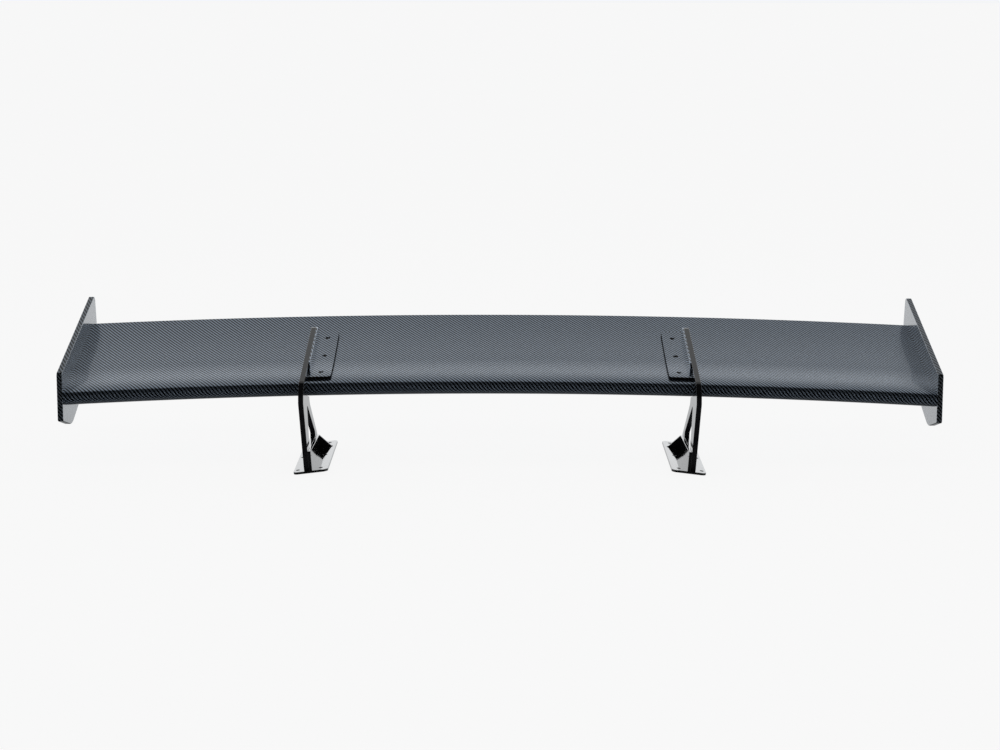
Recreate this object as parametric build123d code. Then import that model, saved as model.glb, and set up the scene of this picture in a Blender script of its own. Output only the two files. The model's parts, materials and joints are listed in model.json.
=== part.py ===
from build123d import *
import os
from math import acos, cos, pi, radians, sin, sqrt

# Racing rear wing: one upside-down aerofoil between two endplates, carried by two swan-neck
# uprights that reach over its leading edge and hold it by its top face. Millimetres.
# +X runs along the span, +Y rearward with the airflow and +Z up. The origin is under the middle of
# the wing, level with the lowest edge of the base plates. The right-hand pieces are modelled and
# the left-hand ones are their mirror images.

# Wing
OVERALL_SPAN = 1550.0
ENDPLATE_THICKNESS = 10.0
HALF_SPAN = OVERALL_SPAN / 2 - ENDPLATE_THICKNESS
CHORD = 313.0
INCIDENCE = radians(15.1)
NOSE_Y = -135.5
NOSE_Z = 120.5
THICKNESS_RATIO = 0.145
CAMBER_RATIO = 0.068
CAMBER_PLACE = 0.37
TAIL_THICKNESS = 1.6
NOSE_ARCH = 22.0
TAIL_ARCH = 18.7
SEAM_TURN = 0.002
SPAN_STATIONS = 9

# Wing structure, placed by distance from the nose along the chord
SKIN = 2.0
BOND = 0.15
FRONT_SPAR = (76.0, 80.0)
REAR_SPAR = (228.0, 232.0)
TAIL_JOINT = 294.0
RIB_THICKNESS = 8.0
RIB_PLACES = {"inner_rib": 170.0, "middle_rib": 450.0, "outer_rib": 610.0}
END_RIB_THICKNESS = 12.0
END_RIB_FRONT = 6.0
BLOCK_DEPTH = 14.0
BLOCK_REACH = (30.0, 222.0)
BLOCK_INSET = 1.0
POCKET_SLACK = 1.0

# Uprights: a flat plate with one shallow bend under the wing
UPRIGHT_INNER = 338.0
UPRIGHT_THICKNESS = 9.0
UPRIGHT_OUTER = UPRIGHT_INNER + UPRIGHT_THICKNESS
BEND_Z = 124.0
BEND_ANGLE = 4.0
NOTCH_GAP = 1.5
FRONT_EDGE = -196.0
ARM_REAR = 94.0
ARM_TOP_FRONT = 154.5
ARM_TOP_REAR = 215.0
UPRIGHT_FOOT = -8.0
UPRIGHT_OUTLINE = [
    (FRONT_EDGE + 2.0, UPRIGHT_FOOT),
    (FRONT_EDGE, BEND_Z),
    (FRONT_EDGE, ARM_TOP_FRONT),
    (ARM_REAR, ARM_TOP_REAR),
    (ARM_REAR, 186.0),
    (-93.0, 138.0),
    (-91.0, 106.0),
    (-6.0, 31.0),
    (6.0, UPRIGHT_FOOT),
]
UPRIGHT_RADII = [0, 0, 34.0, 14.0, 0, 0, 14.0, 16.0, 0]
WINDOW = [(-156.0, 36.0), (-137.0, 112.0), (-28.0, 32.0)]
WINDOW_RADII = [6.0, 7.0, 6.0]

# Top angles: a flange on the wing's top face and a leg against the upright
FLANGE_INNER = 296.7
FLANGE_THICKNESS = 5.0
FLANGE_GAP = 0.1
FLANGE_Y = (-118.0, 80.0)
FLANGE_CORNER = 7.0
FLANGE_REACH = (14.0, 240.0)
LEG_THICKNESS = 3.0
LEG_FRONT = -88.0
LEG_RADII = [3.0, 14.0, 0, 0]
SCREW_X = 315.5
SCREW_DISTANCES = (44.0, 125.0, 207.0)

# Base plates, tilted so that the inboard edge stands higher
BASE_OUTER_X = 356.6
BASE_TILT = radians(6.9)
BASE_WIDTH = 60.2
BASE_Y = (-201.0, 30.0)
BASE_THICKNESS = 4.0
BASE_CORNER = 8.5
BASE_HOLE_ACROSS = (7.0, 47.0)
BASE_HOLE_Y = (-184.0, -85.0, 14.0)
BASE_HOLE_RADIUS = 3.3
TAB_THICKNESS = 5.0
TAB_OUTLINE = [(-194.0, -5.0), (-194.0, 39.0), (-18.0, 31.0), (-18.0, -5.0)]
TAB_RADII = [0, 3.0, 3.0, 0]
GUSSET_Y = (-19.0, -15.0)
GUSSET_HEIGHT = 29.5
GUSSET_WIDTH = 28.5

# M4 countersunk screws and their inserts
SCREW_RADIUS = 2.0
HOLE_RADIUS = 2.2
HEAD_RADIUS = 4.0
HEAD_DEPTH = 2.3
SOCKET_ACROSS = 2.5
SOCKET_DEPTH = 1.6
SCREW_LENGTH = 16.0
INSERT_RADIUS = 3.0
INSERT_BORE = 2.1
INSERT_LENGTH = 10.0
HEAD_SINK = 0.15
END_SCREW_DISTANCES = (40.0, 105.0, 170.0, 235.0)

# Endplates: the outline's corners as (y, z), each with its corner radius
ENDPLATE_OUTLINE = [
    (-132.0, 79.5),
    (-129.0, 164.5),
    (192.5, 254.5),
    (201.5, 200.0),
    (198.0, 151.5),
    (-58.0, 57.5),
]
ENDPLATE_RADII = [5.0, 5.0, 10.0, 40.0, 14.0, 55.0]


def half_thickness(part):
    """Half of the section's thickness at a part of the chord between 0 and 1."""
    shape = 0.2969 * sqrt(part) - 0.1260 * part - 0.3516 * part**2 + 0.2843 * part**3
    shape = shape - 0.1015 * part**4
    return 5 * THICKNESS_RATIO * CHORD * shape + TAIL_THICKNESS / 2 * part


def camber(part):
    """How far the section's middle line hangs below the chord."""
    rise = 2 * CAMBER_PLACE * part - part**2
    if part < CAMBER_PLACE:
        return CHORD * CAMBER_RATIO * rise / CAMBER_PLACE**2
    return CHORD * CAMBER_RATIO * (1 - 2 * CAMBER_PLACE + rise) / (1 - CAMBER_PLACE) ** 2


def section_point(turn):
    """The outline in chord axes: turn is 0 at the nose, +pi at the tail on top, -pi below."""
    part = (1 - cos(turn)) / 2
    side = 1 if turn > 0 else -1
    return CHORD * part, side * half_thickness(part) - camber(part)


def section_normal(turn):
    """The outward direction of the outline, in chord axes, held steady round the blunt tail."""
    step = 0.001
    last = pi - 0.05
    turn = max(-last, min(last, turn))
    before = section_point(turn - step)
    after = section_point(turn + step)
    along = Vector(after[0] - before[0], after[1] - before[1]).normalized()
    return -along.Y, along.X


def turn_at(distance):
    """The turn of the outline's point at a distance from the nose along the chord."""
    return acos(1 - 2 * distance / CHORD)


def to_frame(x, along, up):
    """A point in chord axes at the station x, set at the wing's incidence and arched."""
    part = along / CHORD
    arch = (NOSE_ARCH + (TAIL_ARCH - NOSE_ARCH) * part) * (1 - (x / HALF_SPAN) ** 2)
    y = NOSE_Y + along * cos(INCIDENCE) - up * sin(INCIDENCE)
    z = NOSE_Z + along * sin(INCIDENCE) + up * cos(INCIDENCE) + arch
    return Vector(x, y, z)


def wing_point(x, turn, lift=0.0):
    """A point of the wing's outline at the station x, lifted outward from its surface."""
    along, up = section_point(turn)
    out_along, out_up = section_normal(turn)
    return to_frame(x, along + lift * out_along, up + lift * out_up)


def wing_curve(x, start, end, lift, count=25):
    """A smooth curve along the outline between two turns."""
    turns = [start + (end - start) * i / (count - 1) for i in range(count)]
    return Spline(*[wing_point(x, turn, lift) for turn in turns])


def closed_face(edges):
    """A face inside the edges and the straight lines that join them end to end."""
    ring = []
    for edge, following in zip(edges, edges[1:] + edges[:1]):
        ring.append(edge)
        if (edge @ 1 - following @ 0).length > 1e-6:
            ring.append(Line(edge @ 1, following @ 0))
    return Face(Wire(ring))


def stations(low, high, count):
    """Evenly spaced places from low to high."""
    return [low + (high - low) * i / (count - 1) for i in range(count)]


def band(x, start, end, low, high):
    """A strip along the outline between two lifts."""
    return closed_face([wing_curve(x, start, end, high), wing_curve(x, end, start, low)])


def cell(x, front, rear):
    """The space inside both skins between two distances from the nose."""
    inside = -SKIN - BOND
    top = wing_curve(x, turn_at(front), turn_at(rear), inside)
    bottom = wing_curve(x, -turn_at(rear), -turn_at(front), inside)
    return closed_face([top, bottom])


def nose_cell(x, rear):
    """The space inside both skins ahead of a distance from the nose."""
    return closed_face([wing_curve(x, -turn_at(rear), turn_at(rear), -SKIN - BOND)])


def solid_section(x, lift):
    """The whole section, its surface moved outward by lift."""
    return closed_face([wing_curve(x, -pi, pi, lift, 41)])


def along_span(section, low, high, count=SPAN_STATIONS):
    """A solid through one section at each station."""
    return loft([section(x) for x in stations(low, high, count)])


def plate(outline, radii, x_low, x_high):
    """A plate square to the span: an outline of (y, z) corners, rounded."""
    face = make_face(FilletPolyline(*outline, radius=radii, close=True))
    return extrude(Plane.YZ.offset(x_low) * face, amount=x_high - x_low)


def group(shapes):
    """Separate solids in one node."""
    return Compound(children=list(shapes))


def write(name, shape):
    shape.label = name
    export_step(shape, f"parts/{name}.step")


def write_pair(name, shape):
    """The right-hand piece and its mirror image."""
    write(name + "_right", shape)
    write(name + "_left", mirror(shape, about=Plane.YZ))


def write_fasteners(name, distances, seat, face, fastener):
    """One fastener at each distance from the nose, all in one node, and their mirror images."""
    write_pair(name, group(seat(distance, face) * fastener() for distance in distances))


# Seats: planes whose z axis runs along a screw, out of its head
def top_seat(distance, lift):
    turn = turn_at(distance)
    origin = wing_point(SCREW_X, turn, lift)
    tip = wing_point(SCREW_X, turn, lift + 1.0)
    return Plane(origin=origin, x_dir=(1, 0, 0), z_dir=tip - origin).location


def end_seat(distance, x):
    centre = to_frame(HALF_SPAN, distance, -camber(distance / CHORD))
    return Plane(origin=(x, centre.Y, centre.Z), x_dir=(0, 1, 0), z_dir=(1, 0, 0)).location


UP_FROM_BASE = (cos(BASE_TILT), sin(BASE_TILT))
BASE_SEAT = Plane(
    origin=(BASE_OUTER_X, sum(BASE_Y) / 2, 0),
    x_dir=(-UP_FROM_BASE[0], 0, UP_FROM_BASE[1]),
    z_dir=(UP_FROM_BASE[1], 0, UP_FROM_BASE[0]),
).location


# Fasteners, each with its head at the origin and its shank down the z axis
HANGING = (Align.CENTER, Align.CENTER, Align.MAX)
REACH = 300.0


def countersunk_screw():
    shank = Cylinder(SCREW_RADIUS, SCREW_LENGTH, align=HANGING)
    head = Cone(SCREW_RADIUS, HEAD_RADIUS, HEAD_DEPTH, align=HANGING)
    socket = extrude(RegularPolygon(SOCKET_ACROSS / 2, 6, major_radius=False), amount=-SOCKET_DEPTH)
    return shank + head - socket


def screw_hole(depth):
    """A clearance hole with its countersink, a little wider than the screw all round."""
    slack = HOLE_RADIUS - SCREW_RADIUS
    shank = Cylinder(HOLE_RADIUS, depth, align=HANGING)
    return shank + Cone(HOLE_RADIUS, HEAD_RADIUS + slack, HEAD_DEPTH, align=HANGING)


def insert():
    body = Cylinder(INSERT_RADIUS, INSERT_LENGTH, align=HANGING)
    return body - Cylinder(INSERT_BORE, INSERT_LENGTH, align=HANGING)


# Wing shell
def upper_skin():
    rear = turn_at(TAIL_JOINT)
    skin = along_span(lambda x: band(x, SEAM_TURN, rear, -SKIN, 0), -HALF_SPAN, HALF_SPAN)
    for distance in SCREW_DISTANCES:
        hole = top_seat(distance, 1.0) * Cylinder(HOLE_RADIUS, SKIN * 3, align=HANGING)
        skin = skin - hole - mirror(hole, about=Plane.YZ)
    return skin


def lower_skin():
    rear = -turn_at(TAIL_JOINT)
    return along_span(lambda x: band(x, rear, -SEAM_TURN, -SKIN, 0), -HALF_SPAN, HALF_SPAN)


def trailing_edge_section(x):
    start = turn_at(TAIL_JOINT + BOND)
    top = wing_curve(x, start, pi, 0)
    bottom = wing_curve(x, -pi, -start, 0)
    inner_bottom = wing_point(x, -start, -SKIN)
    inner_top = wing_point(x, start, -SKIN)
    front = [
        Line(bottom @ 1, inner_bottom),
        Line(inner_bottom, inner_top),
        Line(inner_top, top @ 0),
    ]
    return Face(Wire([top, Line(top @ 1, bottom @ 0), bottom] + front))


# Wing structure
CORE_END = HALF_SPAN - END_RIB_THICKNESS - BOND


def under_flange(slack, low, high):
    """A slab under the top face, along the top angle, grown by a slack on every side."""
    front = turn_at(BLOCK_REACH[0] - slack)
    rear = turn_at(BLOCK_REACH[1] + slack)
    inner = FLANGE_INNER + BLOCK_INSET - slack
    outer = UPRIGHT_INNER - FLANGE_THICKNESS + BLOCK_INSET + slack
    return along_span(lambda x: band(x, front, rear, low, high), inner, outer, 3)


def bracket_block():
    """The hard point under the upper skin that a top angle is screwed to."""
    top = -SKIN - BOND
    block = under_flange(0, top - BLOCK_DEPTH, top)
    for distance in SCREW_DISTANCES:
        bore = Cylinder(INSERT_RADIUS, BLOCK_DEPTH * 1.5, align=HANGING)
        block = block - top_seat(distance, top + 1.0) * bore
    return block


def block_pocket():
    """Room in the cores for both blocks, a little wider than they are."""
    room = under_flange(POCKET_SLACK, -SKIN - BLOCK_DEPTH - POCKET_SLACK, POCKET_SLACK)
    return room + mirror(room, about=Plane.YZ)


def end_rib():
    rear = TAIL_JOINT - BOND
    rib = along_span(lambda x: cell(x, END_RIB_FRONT, rear), CORE_END + BOND, HALF_SPAN, 2)
    for distance in END_SCREW_DISTANCES:
        bore = Cylinder(INSERT_RADIUS, INSERT_LENGTH, align=HANGING)
        rib = rib - end_seat(distance, HALF_SPAN) * bore
    return rib


# Endplates
def endplate():
    panel = plate(ENDPLATE_OUTLINE, ENDPLATE_RADII, HALF_SPAN, HALF_SPAN + ENDPLATE_THICKNESS)
    for distance in END_SCREW_DISTANCES:
        panel = panel - end_seat(distance, OVERALL_SPAN / 2) * screw_hole(ENDPLATE_THICKNESS)
    return panel


# Uprights
def arm_top(y):
    """Height of the arm's straight top edge."""
    along = (y - FRONT_EDGE) / (ARM_REAR - FRONT_EDGE)
    return ARM_TOP_FRONT + (ARM_TOP_REAR - ARM_TOP_FRONT) * along


def lean(shape):
    """Swing a piece inboard about the upright's bend."""
    return shape.rotate(Axis((UPRIGHT_OUTER, 0, BEND_Z), (0, 1, 0)), BEND_ANGLE)


def under_base():
    """Everything below the top face of the base plate."""
    return BASE_SEAT * Pos(0, 0, BASE_THICKNESS) * Box(REACH, REACH * 2, REACH, align=HANGING)


def upright():
    flat = plate(UPRIGHT_OUTLINE, UPRIGHT_RADII, UPRIGHT_INNER, UPRIGHT_OUTER)
    flat = flat - plate(WINDOW, WINDOW_RADII, UPRIGHT_INNER - 1.0, UPRIGHT_OUTER + 1.0)
    standing = (Align.CENTER, Align.CENTER, Align.MIN)
    above = Pos(UPRIGHT_INNER, 0, BEND_Z) * Box(REACH, REACH * 2, REACH, align=standing)
    notch = along_span(
        lambda x: solid_section(x, NOTCH_GAP), UPRIGHT_INNER - 2.0, UPRIGHT_OUTER + 2.0, 2
    )
    return (flat & above) + lean(flat - above) - notch - under_base()


def leg():
    """The top angle's plate against the upright, its foot sunk in the flange."""
    outline = [
        (LEG_FRONT, arm_top(LEG_FRONT)),
        (ARM_REAR, ARM_TOP_REAR),
        (ARM_REAR, UPRIGHT_OUTLINE[4][1]),
        (LEG_FRONT, UPRIGHT_OUTLINE[5][1]),
    ]
    inner = UPRIGHT_INNER - LEG_THICKNESS
    foot = FLANGE_GAP + FLANGE_THICKNESS / 2
    wing = along_span(lambda x: solid_section(x, foot), inner - 2.0, UPRIGHT_INNER + 2.0, 2)
    return plate(outline, LEG_RADII, inner, UPRIGHT_INNER) - wing


def flange():
    """The top angle's plate on the wing, cut to its outline as seen from above."""
    start, end = turn_at(FLANGE_REACH[0]), turn_at(FLANGE_REACH[1])
    top = FLANGE_GAP + FLANGE_THICKNESS
    sheet = along_span(
        lambda x: band(x, start, end, FLANGE_GAP, top), FLANGE_INNER - 3.0, UPRIGHT_INNER, 3
    )
    front, rear = FLANGE_Y
    outline = [
        (FLANGE_INNER, front),
        (UPRIGHT_INNER, front),
        (UPRIGHT_INNER, rear),
        (FLANGE_INNER, rear),
    ]
    radii = [FLANGE_CORNER, 0, FLANGE_CORNER, FLANGE_CORNER]
    plan = make_face(FilletPolyline(*outline, radius=radii, close=True))
    return sheet & extrude(plan, amount=REACH)


def top_angle():
    angle = leg() + flange()
    for distance in SCREW_DISTANCES:
        seat = top_seat(distance, FLANGE_GAP + FLANGE_THICKNESS)
        angle = angle - seat * screw_hole(FLANGE_THICKNESS + 3.0)
    return angle


# Base plates
def base_plate():
    length = BASE_Y[1] - BASE_Y[0]
    slab = Box(BASE_WIDTH, length, BASE_THICKNESS, align=(Align.MIN, Align.CENTER, Align.MIN))
    slab = fillet(slab.edges().filter_by(Axis.Z), BASE_CORNER)
    for across in BASE_HOLE_ACROSS:
        for y in BASE_HOLE_Y:
            place = Pos(across, sum(BASE_Y) / 2 - y, BASE_THICKNESS / 2)
            slab = slab - place * Cylinder(BASE_HOLE_RADIUS, BASE_THICKNESS * 2)
    return BASE_SEAT * slab


def base_tab():
    tab = plate(TAB_OUTLINE, TAB_RADII, UPRIGHT_INNER - TAB_THICKNESS, UPRIGHT_INNER)
    return lean(tab) - under_base()


def base_gusset():
    inner = UPRIGHT_INNER - TAB_THICKNESS
    outline = [(inner, GUSSET_HEIGHT), (inner - GUSSET_WIDTH, 0), (inner, 0)]
    face = make_face(Polyline(*outline, close=True))
    thickness = GUSSET_Y[1] - GUSSET_Y[0]
    wedge = extrude(Plane.XZ.offset(-GUSSET_Y[1]) * face, amount=thickness)
    return lean(wedge) - under_base()


def write_wing():
    """The shell, its cores, its two spars and its ribs."""
    write("upper_skin", upper_skin())
    write("lower_skin", lower_skin())
    write("trailing_edge_strip", along_span(trailing_edge_section, -HALF_SPAN, HALF_SPAN))

    pockets = block_pocket()
    bay = (FRONT_SPAR[1] + BOND, REAR_SPAR[0] - BOND)
    tail_bay = (REAR_SPAR[1] + BOND, TAIL_JOINT - BOND)
    nose = along_span(lambda x: nose_cell(x, FRONT_SPAR[0] - BOND), -CORE_END, CORE_END)
    write("nose_core", nose - pockets)
    front_spar = along_span(lambda x: cell(x, *FRONT_SPAR), -CORE_END, CORE_END)
    write("front_spar", front_spar - pockets)
    write("rear_spar", along_span(lambda x: cell(x, *REAR_SPAR), -CORE_END, CORE_END))
    write("tail_core", along_span(lambda x: cell(x, *tail_bay), -CORE_END, CORE_END))

    half = RIB_THICKNESS / 2
    write("centre_rib", along_span(lambda x: cell(x, *bay), -half, half, 2))
    for name, place in RIB_PLACES.items():
        write_pair(name, along_span(lambda x: cell(x, *bay), place - half, place + half, 2))
    write_pair("end_rib", end_rib())


def write_bracket():
    """What holds the wing on each side, from the hard point in it down to the base plate."""
    write_pair("bracket_block", bracket_block())
    write_fasteners("bracket_inserts", SCREW_DISTANCES, top_seat, -SKIN - BOND, insert)
    write_pair("upright", upright())
    write_pair("top_angle", top_angle())
    seat_lift = FLANGE_GAP + FLANGE_THICKNESS - HEAD_SINK
    write_fasteners("top_screws", SCREW_DISTANCES, top_seat, seat_lift, countersunk_screw)
    write_pair("base_plate", base_plate())
    write_pair("base_tab", base_tab())
    write_pair("base_gusset", base_gusset())


def write_endplates():
    write_fasteners("end_inserts", END_SCREW_DISTANCES, end_seat, HALF_SPAN, insert)
    write_pair("endplate", endplate())
    outer = OVERALL_SPAN / 2 - HEAD_SINK
    write_fasteners("endplate_screws", END_SCREW_DISTANCES, end_seat, outer, countersunk_screw)


os.makedirs("parts", exist_ok=True)
write_wing()
write_bracket()
write_endplates()
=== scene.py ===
import json
from math import acos, atan2, cos, hypot, pi, radians, sin, sqrt, tan

import bmesh
import bpy
from mathutils import Matrix, Vector

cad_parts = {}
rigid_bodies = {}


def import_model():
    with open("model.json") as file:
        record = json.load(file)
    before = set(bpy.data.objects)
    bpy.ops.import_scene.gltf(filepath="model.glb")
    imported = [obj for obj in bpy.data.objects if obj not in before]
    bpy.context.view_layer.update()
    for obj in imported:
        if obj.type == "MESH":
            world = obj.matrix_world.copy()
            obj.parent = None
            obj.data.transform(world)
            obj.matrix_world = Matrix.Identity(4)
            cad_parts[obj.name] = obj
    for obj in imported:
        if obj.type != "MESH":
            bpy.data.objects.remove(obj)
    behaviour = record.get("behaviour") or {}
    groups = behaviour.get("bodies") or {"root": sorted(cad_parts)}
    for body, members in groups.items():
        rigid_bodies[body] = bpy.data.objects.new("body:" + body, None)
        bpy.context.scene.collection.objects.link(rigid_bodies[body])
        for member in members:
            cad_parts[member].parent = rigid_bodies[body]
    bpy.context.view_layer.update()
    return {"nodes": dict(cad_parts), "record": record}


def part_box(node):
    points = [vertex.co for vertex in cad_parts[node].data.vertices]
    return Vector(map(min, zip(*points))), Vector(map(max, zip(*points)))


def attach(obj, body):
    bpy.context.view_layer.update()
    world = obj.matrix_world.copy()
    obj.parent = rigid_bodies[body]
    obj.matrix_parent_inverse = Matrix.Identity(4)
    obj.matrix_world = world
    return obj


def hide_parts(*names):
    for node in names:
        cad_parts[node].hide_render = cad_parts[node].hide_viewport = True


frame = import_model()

# Metres, in the row frame: +X along the span, +Y rearward, +Z up. Right-hand pieces are built and
# mirrored. Places come from the frame's boxes; the section's formula is the CAD section's.

# Wing
HALF_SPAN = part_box("upper_skin")[1].x
ENDPLATE_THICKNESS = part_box("endplate_right")[1].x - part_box("endplate_right")[0].x
CHORD = 0.313
INCIDENCE = radians(15.1)
NOSE_Y = -0.1355
NOSE_Z = 0.1205
THICKNESS_RATIO = 0.145
CAMBER_RATIO = 0.068
CAMBER_PLACE = 0.37
TAIL_THICKNESS = 0.0016
NOSE_ARCH = 0.022
TAIL_ARCH = 0.0187
SKIN = 0.002
TAIL_JOINT = 0.294
SPAN_COLUMNS = 97
SKIN_ROWS = 65
TAIL_ROWS = 7

# Uprights and top angles
UPRIGHT_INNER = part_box("top_angle_right")[1].x
UPRIGHT_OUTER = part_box("upright_right")[1].x
FRONT_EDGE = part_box("upright_right")[0].y
BEND_Z = 0.124
BEND_ANGLE = radians(4.0)
BEND_ZONE = 0.009
NOTCH_GAP = 0.0015
NOTCH_START = (-0.0785, 0.138)
NOTCH_LOW_Y = -0.0905
NOTCH_STEPS = 70
NECK_BACK = (-0.091, 0.106)
NECK_BACK_RADIUS = 0.014
SHOULDER_RADIUS = 0.034
TOE = (-0.006, 0.031)
TOE_RADIUS = 0.016
FOOT_REAR = 0.006
FOOT_FRONT = FRONT_EDGE + 0.002
FOOT_SINK = 0.004
ARM_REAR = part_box("upright_right")[1].y
ARM_TOP_FRONT = 0.1545
ARM_TOP_REAR = 0.215
ARM_REAR_LOW = 0.186
ARM_REAR_CORNER = 0.014
WINDOW = [(-0.156, 0.036), (-0.137, 0.112), (-0.028, 0.032)]
WINDOW_RADII = [0.006, 0.007, 0.006]
FLANGE_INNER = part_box("top_angle_right")[0].x
FLANGE_THICKNESS = 0.005
FLANGE_GAP = 0.0001
FLANGE_FRONT, FLANGE_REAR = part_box("top_angle_right")[0].y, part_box("top_angle_right")[1].y
FLANGE_CORNER = 0.007
LEG_FRONT = -0.088
LEG_FRONT_LOW = 0.150
LEG_FRONT_CORNER = 0.003
LEG_THICKNESS = 0.003
LEG_SINK = 0.001
SCREW_X = 0.3155
SCREW_DISTANCES = (0.044, 0.125, 0.207)
SCREW_HOLE = 0.0042
SCREW_RADIUS, SCREW_LENGTH = 0.002, 0.016
HEAD_RADIUS, HEAD_DEPTH, HEAD_SINK, HEAD_EDGE = 0.004, 0.0023, 0.00015, 0.0002
SOCKET_ACROSS, SOCKET_DEPTH = 0.0025, 0.0016

# Base plates
BASE_OUTER_X = 0.3566
BASE_TILT = radians(6.9)
BASE_WIDTH = 0.0602
BASE_FRONT, BASE_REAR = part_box("base_plate_right")[0].y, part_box("base_plate_right")[1].y
BASE_THICKNESS = 0.004
BASE_SINK = 0.0008
BASE_CORNER = 0.0085
BASE_HOLE_ACROSS = (0.007, 0.047)
BASE_HOLE_Y = (-0.184, -0.085, 0.014)
BASE_HOLE_RADIUS = 0.0033
TAB_THICKNESS = 0.005
TAB_FRONT, TAB_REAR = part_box("base_tab_right")[0].y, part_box("base_tab_right")[1].y
TAB_HEIGHTS = (0.039, 0.031)
TAB_CORNER = 0.003
GUSSET_HEIGHT = 0.0295
GUSSET_WIDTH = 0.0285
GUSSET_LOW = 0.004
GUSSET_FRONT, GUSSET_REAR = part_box("base_gusset_right")[0].y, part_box("base_gusset_right")[1].y

# Endplates
ENDPLATE_OUTLINE = [
    (-0.132, 0.0795),
    (-0.129, 0.1645),
    (0.1925, 0.2545),
    (0.2015, 0.200),
    (0.198, 0.1515),
    (-0.058, 0.0575),
]
ENDPLATE_RADII = [0.005, 0.005, 0.010, 0.040, 0.014, 0.055]

# Eased edges, and the heights at which a foot is cut before it is set on its base plate
EDGE = 0.0006
ENDPLATE_EDGE = 0.0012
UPRIGHT_EDGE = 0.0004
LEG_EDGE = 0.0008
BASE_PLATE_EDGE = 0.0005
GUSSET_EDGE = 0.0004
UPRIGHT_CUT = 0.014
TAB_CUT = 0.0145
GUSSET_CUT = 0.0095

# Chord distances to search, nearest, farthest and count, for the place where an outline meets the wing
ARM_SEARCH = (0.19, 0.23, 200)
NOTCH_SEARCH = (0.03, 0.08, 200)
FLANGE_SEARCH = (0.005, 0.26, 1200)
LEG_SEARCH = (0.02, 0.24, 1200)

# Weave
TOW_SPAN, TOW_CHORD = 0.0017, 0.0024
DARK_TOW = (0.006, 0.008, 0.011, 1)
# Painted sheen: the weft tows' light bluish colours stand for the studio reflected along their fibres,
# while the warp tows keep the near-black DARK_TOW. The endplates' painted sheen is dimmer than the wing's.
WING_TOW_PAINTED_SHEEN = (0.66, 0.80, 1.0, 1)
PLATE_TOW_PAINTED_SHEEN = (0.42, 0.48, 0.55, 1)
TOW_RELIEF = 0.00006
RIM_STRETCH = 1.88

# Camera
CAMERA_PLACE = (0.0, -3.742, 0.8523)
CAMERA_PITCH = radians(79.2)
CAMERA_LENS = 75.83
CAMERA_ROLL = radians(0.115)
SENSOR_WIDTH = 36.0

# Light: the room's strength by how far back (+Y), how far to a side and how high one looks. The first
# two are: start, end, strength at the start, strength at the end. The last is pairs of height, strength.
SKY_COLOUR = (0.97, 0.985, 1.0, 1)
SKY_FRONT = (0.36, 0.54, 0.02, 1.0)
SKY_PEAK = 2.0
SKY_SIDES = (0.45, 0.85, 0.0, 0.7)
SKY_HEIGHTS = [(-1, 0.03), (-0.42, 0.03), (-0.24, 0.60), (0.0, 0.95), (0.19, 1.65), (0.32, 1.0),
               (0.45, 0.43), (0.6, 0.33), (0.8, 0.28), (0.9, 0.36), (1, 0.42)]
FLOOR_GLOW = 0.905
FLOOR_HALF_WIDTH = 60.0
KEY_PLACE, KEY_TARGET = (0, -0.6, 3.2), (0, 0, 0.2)
KEY_SIZE, KEY_POWER = (4.0, 2.0), 10.0


# The wing's section, as in the CAD model
def half_thickness(part):
    """Half the section's thickness at a part of the chord: the four-digit series and a blunt tail."""
    shape = 0.2969 * sqrt(part) - 0.1260 * part - 0.3516 * part**2 + 0.2843 * part**3
    shape = shape - 0.1015 * part**4
    return 5 * THICKNESS_RATIO * CHORD * shape + TAIL_THICKNESS / 2 * part


def camber(part):
    """How far the middle line hangs below the chord line."""
    rise = 2 * CAMBER_PLACE * part - part**2
    if part < CAMBER_PLACE:
        return CHORD * CAMBER_RATIO * rise / CAMBER_PLACE**2
    return CHORD * CAMBER_RATIO * (1 - 2 * CAMBER_PLACE + rise) / (1 - CAMBER_PLACE) ** 2


def section_point(turn):
    """A point of the outline: turn is 0 at the nose, pi at the tail, and negative underneath."""
    part = (1 - cos(turn)) / 2
    side = 1 if turn > 0 else -1
    return CHORD * part, side * half_thickness(part) - camber(part)


def section_normal(turn):
    """Outward from the section, square to its outline. It stops turning just before the tail."""
    step = 0.001
    last = pi - 0.05
    turn = max(-last, min(last, turn))
    before = section_point(turn - step)
    after = section_point(turn + step)
    along, up = after[0] - before[0], after[1] - before[1]
    length = hypot(along, up)
    return -up / length, along / length


def turn_at(distance):
    """The turn at a distance along the chord."""
    return acos(1 - 2 * distance / CHORD)


def wing_point(x, turn, lift=0.0):
    """A point of the wing's outline at the station x, lifted outward from its surface."""
    along, up = section_point(turn)
    out_along, out_up = section_normal(turn)
    along += lift * out_along
    up += lift * out_up
    arch = (NOSE_ARCH + (TAIL_ARCH - NOSE_ARCH) * along / CHORD) * (1 - (x / HALF_SPAN) ** 2)
    y = NOSE_Y + along * cos(INCIDENCE) - up * sin(INCIDENCE)
    z = NOSE_Z + along * sin(INCIDENCE) + up * cos(INCIDENCE) + arch
    return Vector((x, y, z))


def spread(low, high, count):
    """Evenly spaced values, both ends included."""
    return [low + (high - low) * i / (count - 1) for i in range(count)]


def distance_at(y, x, lift, search, side=1):
    """The distance along the chord where the lifted surface is nearest to y: above, or below for -1."""
    return min(spread(*search), key=lambda d: abs(wing_point(x, side * turn_at(d), lift).y - y))


# Length of surface, from the lower tail round the nose, at even turns
GIRTH_TURNS = spread(-pi, pi, 721)
GIRTH = [0.0]
for turn_before, turn_after in zip(GIRTH_TURNS, GIRTH_TURNS[1:]):
    point_before, point_after = section_point(turn_before), section_point(turn_after)
    step_length = hypot(point_after[0] - point_before[0], point_after[1] - point_before[1])
    GIRTH.append(GIRTH[-1] + step_length)


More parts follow.
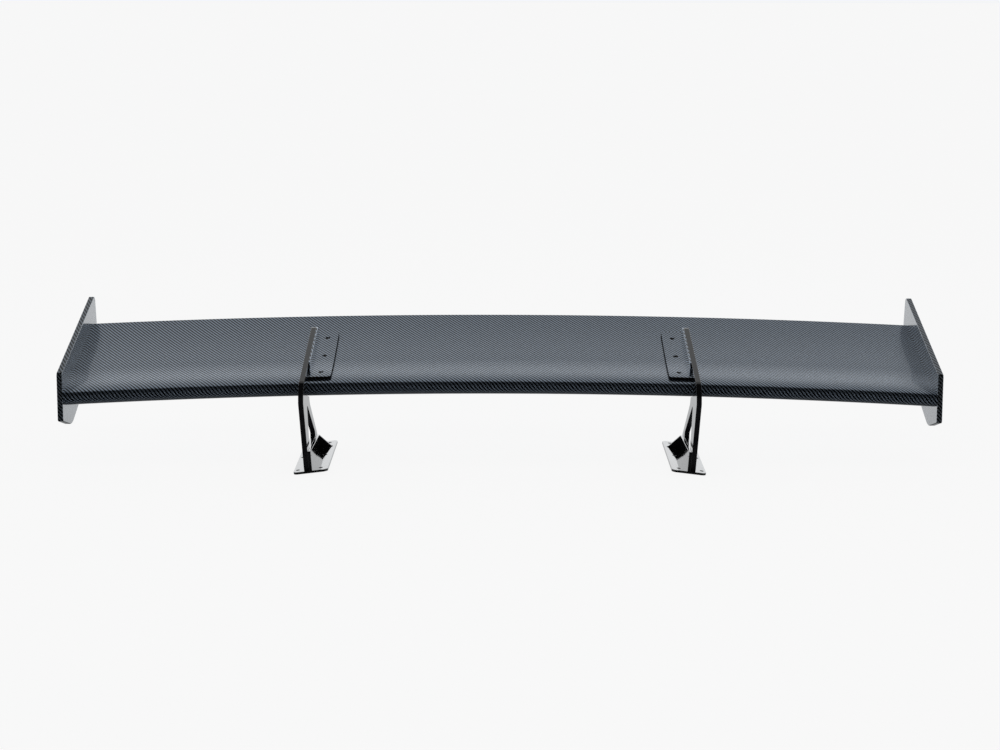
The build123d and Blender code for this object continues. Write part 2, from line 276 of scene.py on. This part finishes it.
def girth_at(turn):
    """Length of surface from the lower tail round the nose to a turn, for the weave."""
    place = (turn + pi) / (2 * pi) * (len(GIRTH) - 1)
    index = min(int(place), len(GIRTH) - 2)
    return GIRTH[index] + (GIRTH[index + 1] - GIRTH[index]) * (place - index)


# Outlines
def arc_corner(before, corner, after, radius, steps=8):
    """Points of a round corner that touches both of its sides."""
    a = Vector(before) - Vector(corner)
    b = Vector(after) - Vector(corner)
    half = a.angle(b) / 2
    reach = radius / tan(half)
    start = Vector(corner) + a.normalized() * reach
    end = Vector(corner) + b.normalized() * reach
    centre = Vector(corner) + (a.normalized() + b.normalized()).normalized() * radius / sin(half)
    first, last = start - centre, end - centre
    turn = atan2(first.x * last.y - first.y * last.x, first.dot(last))
    points = []
    for i in range(steps + 1):
        angle = turn * i / steps
        x = first.x * cos(angle) - first.y * sin(angle)
        y = first.x * sin(angle) + first.y * cos(angle)
        points.append((centre.x + x, centre.y + y))
    return points


def rounded(corners, radii, steps=8):
    """A closed outline with each corner rounded to its own radius."""
    outline = []
    for i, (corner, radius) in enumerate(zip(corners, radii)):
        if radius == 0:
            outline.append(corner)
        else:
            after = corners[(i + 1) % len(corners)]
            outline += arc_corner(corners[i - 1], corner, after, radius, steps)
    return outline


def circle(centre, radius, steps=32):
    """A closed round outline."""
    angles = [2 * pi * i / steps for i in range(steps)]
    return [(centre[0] + radius * cos(a), centre[1] + radius * sin(a)) for a in angles]


def arm_top(y):
    """Height of the arm's top edge."""
    along = (y - FRONT_EDGE) / (ARM_REAR - FRONT_EDGE)
    return ARM_TOP_FRONT + (ARM_TOP_REAR - ARM_TOP_FRONT) * along


# Meshes
def plate_mesh(name, outlines, thickness, edge=EDGE):
    """A flat plate with eased edges: an outline and its holes, centred on z = 0."""
    curve = bpy.data.curves.new(name, "CURVE")
    curve.dimensions = "2D"
    curve.fill_mode = "BOTH"
    curve.extrude = thickness / 2 - edge
    curve.bevel_depth = edge
    curve.bevel_resolution = 2
    curve.offset = -edge
    for outline in outlines:
        spline = curve.splines.new("POLY")
        spline.points.add(len(outline) - 1)
        spline.use_cyclic_u = True
        for point, (x, y) in zip(spline.points, outline):
            point.co = (x, y, 0, 1)
    maker = bpy.data.objects.new(name + "_curve", curve)
    mesh = bpy.data.meshes.new_from_object(maker)
    mesh.name = name
    while mesh.uv_layers:
        mesh.uv_layers.remove(mesh.uv_layers[0])
    bpy.data.objects.remove(maker)
    bpy.data.curves.remove(curve)
    return mesh


def reshape(mesh, move, cuts=()):
    """Weld, cut across where the shape will curve, then move every vertex."""
    bm = bmesh.new()
    bm.from_mesh(mesh)
    bmesh.ops.remove_doubles(bm, verts=bm.verts, dist=1e-7)
    for point, normal in cuts:
        everything = bm.verts[:] + bm.edges[:] + bm.faces[:]
        bmesh.ops.bisect_plane(bm, geom=everything, plane_co=point, plane_no=normal, dist=1e-6)
    for vertex in bm.verts:
        vertex.co = move(vertex.co)
    bmesh.ops.recalc_face_normals(bm, faces=bm.faces)
    bm.to_mesh(mesh)
    bm.free()
    return mesh


def joined(name, meshes):
    """Several meshes as one, their UVs kept."""
    bm = bmesh.new()
    for mesh in meshes:
        bm.from_mesh(mesh)
    result = bpy.data.meshes.new(name)
    bm.to_mesh(result)
    bm.free()
    return result


def paint_uv(mesh, chart):
    """Give each face corner the weave's place, in metres, by a function of its point and normal."""
    layer = mesh.uv_layers.new(name="weave")
    for polygon in mesh.polygons:
        for index in polygon.loop_indices:
            point = mesh.vertices[mesh.loops[index].vertex_index].co
            layer.data[index].uv = chart(point, polygon.normal)


def box_chart(point, normal):
    """The weave laid flat on the side that a face looks to."""
    size = [abs(n) for n in normal]
    if size[0] == max(size):
        return point.y, point.z
    if size[2] == max(size):
        return point.x, point.y / RIM_STRETCH
    return point.x, point.z


def smooth(mesh, limit=radians(32)):
    """Smooth shading with sharp edges where two faces meet at more than the limit."""
    bm = bmesh.new()
    bm.from_mesh(mesh)
    for face in bm.faces:
        face.smooth = True
    for edge in bm.edges:
        if len(edge.link_faces) == 2:
            edge.smooth = edge.calc_face_angle(0) < limit
    bm.to_mesh(mesh)
    bm.free()


def add(name, mesh, material, slot, *nodes):
    """Put a mesh in the scene as a piece that stands for some CAD nodes."""
    piece = bpy.data.objects.new(name, mesh)
    bpy.context.scene.collection.objects.link(piece)
    mesh.materials.append(material)
    weigh = piece.modifiers.new("weigh", "WEIGHTED_NORMAL")
    weigh.mode = "FACE_AREA"
    weigh.keep_sharp = True
    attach(piece, "root")
    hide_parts(*nodes)
    return piece


def mirrored(mesh, name):
    """The mesh on the other side of the middle."""
    twin = mesh.copy()
    twin.name = name
    twin.transform(Matrix.Scale(-1, 4, (1, 0, 0)))
    twin.flip_normals()
    for loop in twin.uv_layers["weave"].data:
        loop.uv.x = -loop.uv.x
    return twin


def add_pair(name, mesh, material, slot, node):
    """A right-hand piece and its mirror image, each for its own CAD node."""
    smooth(mesh)
    if not mesh.uv_layers:
        paint_uv(mesh, box_chart)
    left = mirrored(mesh, name + "_left")
    add(name + "_right", mesh, material, slot, node + "_right")
    add(name + "_left", left, material, slot, node + "_left")


# Materials
class Nodes:
    """A short way to write the node tree of a material or of the world."""

    def __init__(self, owner, shader="Principled BSDF"):
        owner.use_nodes = True
        self.tree = owner.node_tree
        self.shader = self.tree.nodes[shader]

    def node(self, kind, **settings):
        made = self.tree.nodes.new(kind)
        for key, value in settings.items():
            setattr(made, key, value)
        return made

    def feed(self, socket, value):
        if isinstance(value, (int, float, tuple)):
            socket.default_value = value
        else:
            self.tree.links.new(value, socket)

    def math(self, operation, a, b=0.0, c=0.0):
        made = self.node("ShaderNodeMath", operation=operation)
        for socket, value in zip(made.inputs, (a, b, c)):
            self.feed(socket, value)
        return made.outputs[0]

    def mix(self, share, a, b):
        made = self.node("ShaderNodeMix", data_type="RGBA")
        self.feed(made.inputs["Factor"], share)
        self.feed(made.inputs["A"], a)
        self.feed(made.inputs["B"], b)
        return made.outputs["Result"]

    def blend(self, share, a, b):
        made = self.node("ShaderNodeMix", data_type="FLOAT")
        self.feed(made.inputs["Factor"], share)
        self.feed(made.inputs["A"], a)
        self.feed(made.inputs["B"], b)
        return made.outputs["Result"]

    def noise(self, vector, scale, detail=2.0, roughness=0.5):
        made = self.node("ShaderNodeTexNoise")
        self.feed(made.inputs["Vector"], vector)
        self.feed(made.inputs["Scale"], scale)
        self.feed(made.inputs["Detail"], detail)
        self.feed(made.inputs["Roughness"], roughness)
        return made.outputs["Fac"]

    def ramp(self, value, low, high, out_low=0.0, out_high=1.0):
        made = self.node("ShaderNodeMapRange", interpolation_type="SMOOTHSTEP")
        for socket, number in zip(made.inputs, (value, low, high, out_low, out_high)):
            self.feed(socket, number)
        return made.outputs[0]

    def place(self):
        return self.node("ShaderNodeTexCoord").outputs["Object"]

    def bump(self, height, distance, strength=1.0):
        made = self.node("ShaderNodeBump")
        made.inputs["Distance"].default_value = distance
        made.inputs["Strength"].default_value = strength
        self.feed(made.inputs["Height"], height)
        return made.outputs["Normal"]

    def set(self, **values):
        for key, value in values.items():
            self.feed(self.shader.inputs[key.replace("_", " ")], value)


def carbon(name, tow_u, tow_v, dark, light):
    """2x2 twill: tows over two and under two, stepping by one, under a clear lacquer. The weft tows carry
    a painted sheen colour and the warp tows the dark one. Painted shade darkens each tow at its sides and
    where it dips under.
    """
    material = bpy.data.materials.new(name)
    n = Nodes(material)
    uv = n.node("ShaderNodeUVMap", uv_map="weave").outputs["UV"]
    split = n.node("ShaderNodeSeparateXYZ")
    n.feed(split.inputs[0], uv)
    u = n.math("DIVIDE", split.outputs["X"], tow_u)
    v = n.math("DIVIDE", split.outputs["Y"], tow_v)
    warp_place = n.math("FLOORED_MODULO", n.math("ADD", v, n.math("FLOOR", u)), 4.0)
    weft_place = n.math("FLOORED_MODULO", n.math("ADD", u, n.math("FLOOR", v)), 4.0)
    warp_on_top = n.math("LESS_THAN", warp_place, 2.0)

    def crown(across, along):
        """A tow's height: round across it, and dipping where it goes under."""
        side = n.math("SINE", n.math("MULTIPLY", n.math("FRACT", across), pi))
        dip = n.math("ABSOLUTE", n.math("SINE", n.math("MULTIPLY", along, pi / 2)))
        return n.math("MULTIPLY", n.math("POWER", side, 0.5), n.math("POWER", dip, 0.35))

    def fibres(scale):
        """Fine streaks along a tow."""
        stretch = n.node("ShaderNodeMapping")
        stretch.inputs["Scale"].default_value = scale
        n.feed(stretch.inputs["Vector"], uv)
        return n.noise(stretch.outputs[0], 7.0, 3.0, 0.6)

    height = n.blend(warp_on_top, crown(v, weft_place), crown(u, warp_place))
    along_weft = fibres((0.05 / tow_u, 1.0 / tow_v, 1.0))
    along_warp = fibres((1.0 / tow_u, 0.05 / tow_v, 1.0))
    streaks = n.blend(warp_on_top, along_weft, along_warp)
    # Painted shade: the base colour darkens to a fifth at each tow's sides and where it dips under. It is
    # then multiplied by a random streak tone along the fibres.
    shade = n.math("MULTIPLY", n.ramp(height, 0.0, 0.9, 0.2, 1.0), n.ramp(streaks, 0.2, 0.8, 0.75, 1.25))
    lit = n.node("ShaderNodeMix", data_type="RGBA", blend_type="MULTIPLY")
    lit.inputs["Factor"].default_value = 1.0
    # Painted sheen: a light colour on the weft tows and near black on the warp tows.
    n.feed(lit.inputs["A"], n.mix(warp_on_top, light, dark))
    n.feed(lit.inputs["B"], shade)
    n.set(
        Base_Color=lit.outputs["Result"],
        Metallic=0.9,
        Roughness=n.ramp(streaks, 0.2, 0.8, 0.12, 0.20),
        Normal=n.bump(n.math("ADD", height, n.math("MULTIPLY", streaks, 0.12)), TOW_RELIEF),
        Coat_Weight=1.0,
        Coat_Roughness=0.03,
        Coat_IOR=1.35,
    )
    return material


def gloss_black(name):
    """Gloss powder coat: deep black with slightly duller patches."""
    material = bpy.data.materials.new(name)
    n = Nodes(material)
    cloud = n.noise(n.place(), 35.0, 3.0)
    n.set(
        Base_Color=n.mix(n.ramp(cloud, 0.3, 0.7), (0.004, 0.004, 0.005, 1), (0.009, 0.009, 0.010, 1)),
        Roughness=n.ramp(cloud, 0.25, 0.75, 0.05, 0.10),
        Normal=n.bump(n.noise(n.place(), 160.0, 1.0), 0.000008),
        IOR=1.5,
        Coat_Weight=0.5,
        Coat_Roughness=0.02,
        Coat_IOR=1.5,
    )
    return material


def plain(name, dark, light, scale, roughness, metallic=0.0, grain=0.0002, shine=0.5):
    """Hidden and small pieces: two close tones in a fine grain."""
    material = bpy.data.materials.new(name)
    n = Nodes(material)
    place = n.place()
    speck = n.noise(place, scale, 4.0, 0.6)
    n.set(
        Base_Color=n.mix(n.ramp(speck, 0.3, 0.7), dark, light),
        Roughness=n.ramp(speck, 0.2, 0.8, roughness - 0.06, roughness + 0.06),
        Normal=n.bump(speck, grain),
        Metallic=metallic,
        Specular_IOR_Level=shine,
    )
    return material


def tone(red, green, blue):
    return (red, green, blue, 1)


WING_CARBON = carbon("wing_carbon", TOW_SPAN, TOW_CHORD, DARK_TOW, WING_TOW_PAINTED_SHEEN)
PLATE_CARBON = carbon("endplate_carbon", TOW_SPAN, TOW_SPAN, DARK_TOW, PLATE_TOW_PAINTED_SHEEN)
BLACK = gloss_black("gloss_black")
HEADS = plain(
    "screw_head", tone(0.004, 0.004, 0.005), tone(0.010, 0.010, 0.012),
    scale=900.0, roughness=0.45, grain=0.00002, shine=0.1,
)
CUT_EDGE = plain(
    "cut_edge", tone(0.003, 0.003, 0.004), tone(0.007, 0.007, 0.008),
    scale=900.0, roughness=0.6, grain=0.00002, shine=0.06,
)
OXIDE = plain(
    "black_oxide", tone(0.008, 0.008, 0.009), tone(0.022, 0.022, 0.024),
    scale=900.0, roughness=0.34, metallic=0.8, grain=0.00003,
)
LAMINATE = plain(
    "bare_laminate", tone(0.02, 0.02, 0.022), tone(0.05, 0.05, 0.055), scale=500.0, roughness=0.55,
)
FOAM = plain(
    "foam", tone(0.62, 0.56, 0.42), tone(0.80, 0.75, 0.60), scale=900.0, roughness=0.85, grain=0.0006,
)
ALUMINIUM = plain(
    "milled_aluminium", tone(0.62, 0.63, 0.65), tone(0.78, 0.79, 0.80),
    scale=260.0, roughness=0.32, metallic=1.0, grain=0.00003,
)
BRASS = plain(
    "machined_brass", tone(0.62, 0.45, 0.18), tone(0.80, 0.62, 0.30),
    scale=300.0, roughness=0.28, metallic=1.0, grain=0.00003,
)


# Wing shell
def skin_mesh(name, start, end):
    """A skin between two turns: outer face, inner face and the edges between them."""
    columns, rows = SPAN_COLUMNS, SKIN_ROWS
    xs = spread(-HALF_SPAN, HALF_SPAN, columns)
    turns = spread(start, end, rows)
    bm = bmesh.new()
    layer = bm.loops.layers.uv.new("weave")
    sheets = []
    for lift in (0.0, -SKIN):
        sheets.append([[bm.verts.new(wing_point(x, t, lift)) for x in xs] for t in turns])
    place = {}
    for sheet in sheets:
        for line, turn in zip(sheet, turns):
            for vertex, x in zip(line, xs):
                place[vertex] = (x, girth_at(turn))
    outer, inner = sheets

    def face(*vertices):
        made = bm.faces.new(vertices)
        made.smooth = True
        for loop in made.loops:
            loop[layer].uv = place[loop.vert]
        return made

    for i in range(rows - 1):
        for j in range(columns - 1):
            face(outer[i][j], outer[i][j + 1], outer[i + 1][j + 1], outer[i + 1][j])
            face(inner[i][j], inner[i + 1][j], inner[i + 1][j + 1], inner[i][j + 1])
    for i, k in ((0, 1), (rows - 1, -1)):
        for j in range(columns - 1):
            rim = (outer[i][j], inner[i][j], inner[i][j + 1], outer[i][j + 1])
            face(*rim[::k]).smooth = False
    for j, k in ((0, -1), (columns - 1, 1)):
        for i in range(rows - 1):
            rim = (outer[i][j], inner[i][j], inner[i + 1][j], outer[i + 1][j])
            face(*rim[::k]).smooth = False
    bmesh.ops.recalc_face_normals(bm, faces=bm.faces)
    mesh = bpy.data.meshes.new(name)
    bm.to_mesh(mesh)
    bm.free()
    smooth(mesh)
    return mesh


def tail_mesh(name):
    """The closed wedge behind both skins."""
    columns, rows = SPAN_COLUMNS, TAIL_ROWS
    start = turn_at(TAIL_JOINT)
    xs = spread(-HALF_SPAN, HALF_SPAN, columns)
    turns = spread(start, pi, rows) + spread(-pi, -start, rows)
    bm = bmesh.new()
    layer = bm.loops.layers.uv.new("weave")
    lines = [[bm.verts.new(wing_point(x, t)) for x in xs] for t in turns]
    count = len(lines)
    for i in range(count):
        k = (i + 1) % count
        for j in range(columns - 1):
            made = bm.faces.new((lines[i][j], lines[i][j + 1], lines[k][j + 1], lines[k][j]))
            made.smooth = True
            for loop, (line, column) in zip(made.loops, ((i, j), (i, j + 1), (k, j + 1), (k, j))):
                loop[layer].uv = (xs[column], girth_at(turns[line]))
    for j in (0, columns - 1):
        bm.faces.new([line[j] for line in lines])
    bmesh.ops.recalc_face_normals(bm, faces=bm.faces)
    mesh = bpy.data.meshes.new(name)
    bm.to_mesh(mesh)
    bm.free()
    smooth(mesh)
    return mesh


tail_turn = turn_at(TAIL_JOINT)
upper_skin = skin_mesh("upper_skin_twill", 0.0, tail_turn)
add("upper_skin_twill", upper_skin, WING_CARBON, "wing_carbon", "upper_skin")
lower_skin = skin_mesh("lower_skin_twill", -tail_turn, 0.0)
add("lower_skin_twill", lower_skin, WING_CARBON, "wing_carbon", "lower_skin")
tail_strip = tail_mesh("tail_strip_twill")
add("tail_strip_twill", tail_strip, WING_CARBON, "wing_carbon", "trailing_edge_strip")


# Endplates
def across(x_middle):
    """Stand a flat plate up: its x to y, its y to z and its z to x, about a middle plane."""
    return lambda p: Vector((x_middle + p.z, p.x, p.y))


endplate_outline = rounded(ENDPLATE_OUTLINE, ENDPLATE_RADII, 10)
endplate = plate_mesh("endplate", [endplate_outline], ENDPLATE_THICKNESS, ENDPLATE_EDGE)
reshape(endplate, across(HALF_SPAN + ENDPLATE_THICKNESS / 2))
add_pair("endplate_twill", endplate, PLATE_CARBON, "endplate_carbon", "endplate")


# Uprights
def lean(point):
    """Bend inboard below the bend line, the outer face keeping its length."""
    below = BEND_Z + BEND_ZONE / 2 - point.z
    angle = BEND_ANGLE * max(0.0, min(1.0, below / BEND_ZONE))
    if angle == 0.0:
        return point
    pivot = Vector((UPRIGHT_OUTER, 0, BEND_Z))
    offset = point - pivot
    x = offset.x * cos(angle) + offset.z * sin(angle)
    z = -offset.x * sin(angle) + offset.z * cos(angle)
    return pivot + Vector((x, offset.y, z))


def base_floor(x):
    """Height of the base plate's top face at x."""
    return BASE_THICKNESS / cos(BASE_TILT) + (BASE_OUTER_X - x) * tan(BASE_TILT)


def rest_on_base(point):
    """Stop what would go through the base plate just under its top face."""
    return Vector((point.x, point.y, max(point.z, base_floor(point.x) - BASE_SINK)))


def set_on_base(mesh, cuts, height):
    """Bend a standing plate inboard and end it on the base plate, with a cut just above its foot."""
    return reshape(mesh, lambda p: rest_on_base(lean(p)), cuts + [((0, 0, height), (0, 0, 1))])


def upright_mesh():
    """A plate from the base plate up in front of the nose and back over the wing, notched round it."""
    middle = (UPRIGHT_INNER + UPRIGHT_OUTER) / 2
    bottom = base_floor(middle - BEND_Z * sin(BEND_ANGLE)) - FOOT_SINK
    corners = [
        NOTCH_START,
        NECK_BACK,
        TOE,
        (FOOT_REAR, bottom),
        (FOOT_FRONT, bottom),
        (FRONT_EDGE, BEND_Z),
        (FRONT_EDGE, ARM_TOP_FRONT),
        (ARM_REAR, ARM_TOP_REAR),
        (ARM_REAR, ARM_REAR_LOW),
    ]
    radii = [0, NECK_BACK_RADIUS, TOE_RADIUS, 0, 0, 0, SHOULDER_RADIUS, ARM_REAR_CORNER, 0]
    outline = rounded(corners, radii, 12)[1:-1]
    rear = distance_at(ARM_REAR, middle, NOTCH_GAP, ARM_SEARCH)
    under = distance_at(NOTCH_LOW_Y, middle, NOTCH_GAP, NOTCH_SEARCH, -1)
    notch = [wing_point(middle, t, NOTCH_GAP) for t in spread(turn_at(rear), -turn_at(under), NOTCH_STEPS)]
    outline += [(p.y, p.z) for p in notch]
    window = rounded(WINDOW, WINDOW_RADII)
    mesh = plate_mesh("upright", [outline, window], UPRIGHT_OUTER - UPRIGHT_INNER, UPRIGHT_EDGE)
    reshape(mesh, across(middle))
    bend = spread(BEND_Z - BEND_ZONE / 2, BEND_Z + BEND_ZONE / 2, 7)
    return set_on_base(mesh, [((0, 0, z), (0, 0, 1)) for z in bend], UPRIGHT_CUT)


add_pair("upright_gloss", upright_mesh(), BLACK, "black_gloss", "upright")


# Top angles
def flange_mesh():
    """A plate in (x, distance along the chord), wrapped onto the wing's top face."""
    top = FLANGE_GAP + FLANGE_THICKNESS
    front = distance_at(FLANGE_FRONT + EDGE, FLANGE_INNER, top, FLANGE_SEARCH)
    rear = distance_at(FLANGE_REAR - EDGE, FLANGE_INNER, top, FLANGE_SEARCH)
    corners = [(FLANGE_INNER, front), (UPRIGHT_INNER, front), (UPRIGHT_INNER, rear), (FLANGE_INNER, rear)]
    outline = rounded(corners, [FLANGE_CORNER, 0, FLANGE_CORNER, FLANGE_CORNER], 10)
    holes = [circle((SCREW_X, d), SCREW_HOLE) for d in SCREW_DISTANCES]
    mesh = plate_mesh("flange", [outline] + holes, FLANGE_THICKNESS)
    cuts = [((0, d, 0), (0, 1, 0)) for d in spread(front, rear, 60)[1:-1]]
    reshape(mesh, lambda p: p, cuts)
    flat = [vertex.co.copy() for vertex in mesh.vertices]
    for vertex, p in zip(mesh.vertices, flat):
        vertex.co = wing_point(p.x, turn_at(p.y), FLANGE_GAP + FLANGE_THICKNESS / 2 + p.z)
    layer = mesh.uv_layers.new(name="weave")
    face_height = FLANGE_THICKNESS / 2 - EDGE / 6
    for polygon in mesh.polygons:
        for index in polygon.loop_indices:
            p = flat[mesh.loops[index].vertex_index]
            layer.data[index].uv = (p.x, girth_at(turn_at(p.y)))
        if min(abs(flat[v].z) for v in polygon.vertices) < face_height:
            polygon.material_index = 1
    return mesh


def leg_mesh():
    """The plate against the upright, its foot sunk in the flange."""
    middle = UPRIGHT_INNER - LEG_THICKNESS / 2
    lift = FLANGE_GAP + FLANGE_THICKNESS - LEG_SINK
    ends = [
        (LEG_FRONT, LEG_FRONT_LOW),
        (LEG_FRONT, arm_top(LEG_FRONT)),
        (ARM_REAR, ARM_TOP_REAR),
        (ARM_REAR, ARM_REAR_LOW),
    ]
    outline = rounded(ends, [0, LEG_FRONT_CORNER, ARM_REAR_CORNER, 0])[1:-1]
    rear = distance_at(ARM_REAR, middle, lift, LEG_SEARCH)
    front = distance_at(LEG_FRONT, middle, lift, LEG_SEARCH)
    foot = [wing_point(middle, turn_at(d), lift) for d in spread(rear, front, 40)]
    outline += [(p.y, p.z) for p in foot]
    mesh = plate_mesh("leg", [outline], LEG_THICKNESS, LEG_EDGE)
    reshape(mesh, across(middle))
    paint_uv(mesh, box_chart)
    return mesh


top_angle = joined("top_angle", [flange_mesh(), leg_mesh()])
add_pair("top_angle_twill", top_angle, WING_CARBON, "wing_carbon", "top_angle")
for side in ("left", "right"):
    bpy.data.objects["top_angle_twill_" + side].data.materials.append(CUT_EDGE)


# Screws on the top angles: countersunk, with a hexagon socket
def hexagon(angle):
    """The socket's radius at an angle."""
    sector = (angle + pi / 6) % (pi / 3) - pi / 6
    return SOCKET_ACROSS / 2 / cos(sector)


def screw_mesh():
    """One mesh with all of a top angle's screws, in place."""
    steps = 48
    angles = [2 * pi * i / steps for i in range(steps)]
    socket = [hexagon(a) for a in angles]
    rings = [
        ([SCREW_RADIUS] * steps, -SCREW_LENGTH),
        ([SCREW_RADIUS] * steps, -HEAD_DEPTH),
        ([HEAD_RADIUS] * steps, -HEAD_EDGE),
        ([HEAD_RADIUS - HEAD_EDGE] * steps, 0.0),
        (socket, 0.0),
        (socket, -SOCKET_DEPTH),
    ]
    mesh = bpy.data.meshes.new("top_screws")
    bm = bmesh.new()
    sideways = Vector((1, 0, 0))
    for distance in SCREW_DISTANCES:
        turn = turn_at(distance)
        seat = wing_point(SCREW_X, turn, FLANGE_GAP + FLANGE_THICKNESS - HEAD_SINK)
        up = (wing_point(SCREW_X, turn, 1.0) - wing_point(SCREW_X, turn)).normalized()
        along = up.cross(sideways)
        lines = []
        for radii, height in rings:
            line = []
            for angle, radius in zip(angles, radii):
                place = seat + sideways * radius * cos(angle) + along * radius * sin(angle)
                line.append(bm.verts.new(place + up * height))
            lines.append(line)
        for lower, upper in zip(lines, lines[1:]):
            for i in range(steps):
                k = (i + 1) % steps
                bm.faces.new((lower[i], lower[k], upper[k], upper[i]))
        bm.faces.new(lines[0])
        bm.faces.new(lines[-1])
    bmesh.ops.recalc_face_normals(bm, faces=bm.faces)
    bm.to_mesh(mesh)
    bm.free()
    return mesh


add_pair("top_screws_socketed", screw_mesh(), HEADS, "black_screw", "top_screws")


# Base plates
def on_base(point):
    """From the base plate's own axes (across, along, up from its underside) to the frame."""
    x = BASE_OUTER_X - point.x * cos(BASE_TILT) + point.z * sin(BASE_TILT)
    z = point.x * sin(BASE_TILT) + point.z * cos(BASE_TILT)
    return Vector((x, point.y, z))


def base_plate_mesh():
    """The tilted plate with its six bolt holes."""
    corners = [(0, BASE_FRONT), (BASE_WIDTH, BASE_FRONT), (BASE_WIDTH, BASE_REAR), (0, BASE_REAR)]
    outline = rounded(corners, [BASE_CORNER] * 4)
    holes = [circle((x, y), BASE_HOLE_RADIUS) for x in BASE_HOLE_ACROSS for y in BASE_HOLE_Y]
    mesh = plate_mesh("base_plate", [outline] + holes, BASE_THICKNESS, BASE_PLATE_EDGE)
    return reshape(mesh, lambda p: on_base(Vector((p.x, p.y, p.z + BASE_THICKNESS / 2))))


def base_tab_mesh():
    """The low plate against the upright's inner face."""
    low = base_floor(UPRIGHT_INNER - 2 * TAB_THICKNESS) - FOOT_SINK
    corners = [(TAB_FRONT, low), (TAB_FRONT, TAB_HEIGHTS[0]), (TAB_REAR, TAB_HEIGHTS[1]), (TAB_REAR, low)]
    mesh = plate_mesh("base_tab", [rounded(corners, [0, TAB_CORNER, TAB_CORNER, 0])], TAB_THICKNESS)
    reshape(mesh, across(UPRIGHT_INNER - TAB_THICKNESS / 2))
    return set_on_base(mesh, [], TAB_CUT)


def base_gusset_mesh():
    """The small triangle across the tab's rear."""
    inner = UPRIGHT_INNER - TAB_THICKNESS
    reach = GUSSET_WIDTH * (1 - GUSSET_LOW / GUSSET_HEIGHT)
    outline = [(inner, GUSSET_HEIGHT), (inner - reach, GUSSET_LOW), (inner, GUSSET_LOW)]
    mesh = plate_mesh("base_gusset", [outline], GUSSET_REAR - GUSSET_FRONT, GUSSET_EDGE)
    middle = (GUSSET_FRONT + GUSSET_REAR) / 2
    reshape(mesh, lambda p: Vector((p.x, middle - p.z, p.y)))
    return set_on_base(mesh, [], GUSSET_CUT)


add_pair("base_plate_gloss", base_plate_mesh(), BLACK, "black_gloss", "base_plate")
add_pair("base_tab_gloss", base_tab_mesh(), BLACK, "black_gloss", "base_tab")
add_pair("base_gusset_gloss", base_gusset_mesh(), BLACK, "black_gloss", "base_gusset")


# CAD nodes that stay, each with its material
SLOT_MATERIALS = {
    "black_screw": OXIDE,
    "inner_carbon": LAMINATE,
    "foam": FOAM,
    "block_aluminium": ALUMINIUM,
    "insert_brass": BRASS,
}
for subpart in frame["record"]["subparts"]:
    if subpart["material_slot"] in SLOT_MATERIALS:
        for kept in frame["nodes"][subpart["node"]].material_slots:
            kept.material = SLOT_MATERIALS[subpart["material_slot"]]


# Stage: a plain pale floor, a soft studio and the camera
def stage_floor():
    """Glows by itself, so that only a faint shade shows at the feet, and stays out of reflections."""
    material = bpy.data.materials.new("stage_floor")
    n = Nodes(material)
    n.set(
        Base_Color=n.mix(n.noise(n.place(), 0.6), tone(0.12, 0.12, 0.12), tone(0.13, 0.13, 0.13)),
        Roughness=0.9,
        Specular_IOR_Level=0.0,
        Emission_Color=tone(1, 1, 1),
        Emission_Strength=FLOOR_GLOW,
    )
    mesh = bpy.data.meshes.new("stage_floor")
    half = FLOOR_HALF_WIDTH
    corners = [(-half, -half, 0), (half, -half, 0), (half, half, 0), (-half, half, 0)]
    mesh.from_pydata(corners, [], [(0, 1, 2, 3)])
    mesh.materials.append(material)
    floor = bpy.data.objects.new("stage_floor", mesh)
    floor.visible_glossy = False
    bpy.context.scene.collection.objects.link(floor)


def studio():
    """A bright room, dark on the side that the wing's nose faces and dimmer overhead."""
    world = bpy.data.worlds.new("studio")
    bpy.context.scene.world = world
    n = Nodes(world, "Background")
    split = n.node("ShaderNodeSeparateXYZ")
    n.feed(split.inputs[0], n.node("ShaderNodeTexCoord").outputs["Generated"])
    back = n.ramp(split.outputs["Y"], *SKY_FRONT)
    sides = n.ramp(n.math("ABSOLUTE", split.outputs["X"]), *SKY_SIDES)

    heights = n.node("ShaderNodeValToRGB")
    n.feed(heights.inputs["Fac"], n.math("MULTIPLY_ADD", split.outputs["Z"], 0.5, 0.5))
    stops = heights.color_ramp.elements
    while len(stops) < len(SKY_HEIGHTS):
        stops.new(0.5)
    for stop, (height, strength) in zip(stops, SKY_HEIGHTS):
        stop.position = (height + 1) / 2
        stop.color = (strength / SKY_PEAK,) * 3 + (1,)

    share = n.math("MULTIPLY", n.math("MAXIMUM", back, sides), heights.outputs["Color"])
    n.set(Color=SKY_COLOUR, Strength=n.math("MULTIPLY", share, SKY_PEAK))


def key_light():
    """A wide soft light overhead, out of reflections."""
    light = bpy.data.lights.new("key_overhead", "AREA")
    light.shape = "RECTANGLE"
    light.size, light.size_y = KEY_SIZE
    light.energy = KEY_POWER
    lamp = bpy.data.objects.new("key_overhead", light)
    lamp.location = KEY_PLACE
    lamp.visible_glossy = False
    lamp.rotation_euler = (Vector(KEY_TARGET) - Vector(KEY_PLACE)).to_track_quat("-Z", "Y").to_euler()
    bpy.context.scene.collection.objects.link(lamp)


def camera():
    """Far in front and a little above, with a long lens."""
    data = bpy.data.cameras.new("camera")
    data.lens = CAMERA_LENS
    data.sensor_width = SENSOR_WIDTH
    eye = bpy.data.objects.new("camera", data)
    eye.location = CAMERA_PLACE
    turn = Matrix.Rotation(CAMERA_PITCH, 3, "X") @ Matrix.Rotation(CAMERA_ROLL, 3, "Z")
    eye.rotation_euler = turn.to_euler()
    bpy.context.scene.collection.objects.link(eye)
    bpy.context.scene.camera = eye


stage_floor()
studio()
key_light()
camera()
bpy.context.scene.view_settings.view_transform = "Standard"
